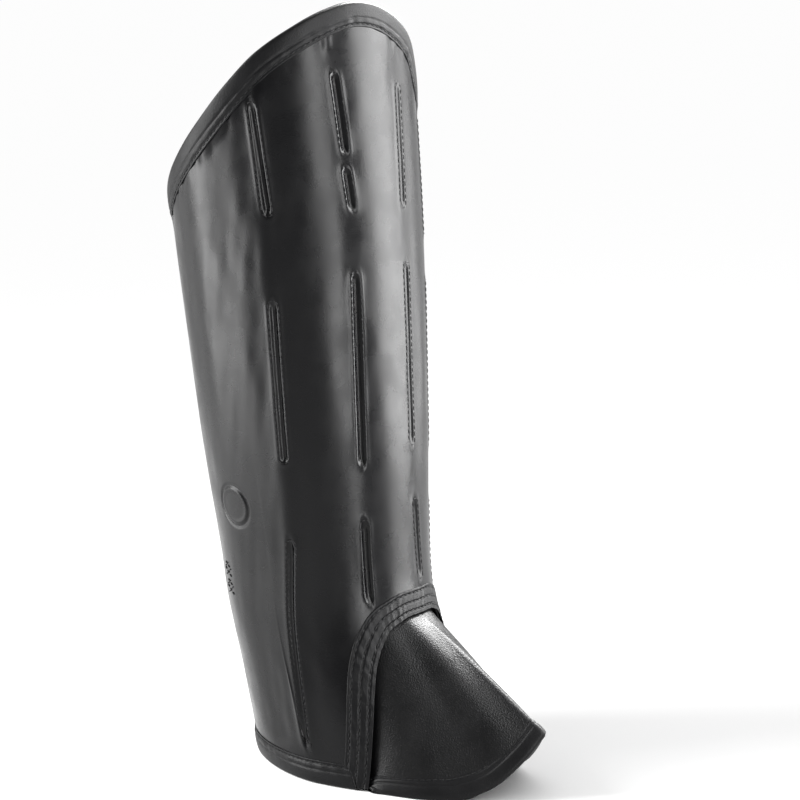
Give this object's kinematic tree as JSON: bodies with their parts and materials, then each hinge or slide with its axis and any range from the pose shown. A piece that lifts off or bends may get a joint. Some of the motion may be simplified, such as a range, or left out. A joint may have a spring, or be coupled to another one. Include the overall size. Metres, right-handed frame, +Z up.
{
  "type": "safety leg guard",
  "caption": "Black leather leg guard for shin and instep, with stitched stay slots, bound edges and a flap over the boot.",
  "frame": {"origin": "middle of the footprint, on the surface that the guard stands on", "axes": "+Z up the leg, -Y towards the toe, -X towards the outer side"},
  "size_m": [0.1494, 0.246, 0.4315],
  "materials": {
    "shin_leather": "satin",
    "flap_leather": "fine grained matte",
    "binding_leather": "matte",
    "fastening": "napped"
  },
  "bodies": {
    "root": {"shin_wrap": "shin_leather", "instep_flap": "flap_leather", "top_binding": "binding_leather", "hem_binding_outer": "binding_leather", "hem_binding_inner": "binding_leather", "flap_binding": "binding_leather", "ankle_seam_strip": "binding_leather", "closure_strip": "fastening"}
  },
  "joints": []
}
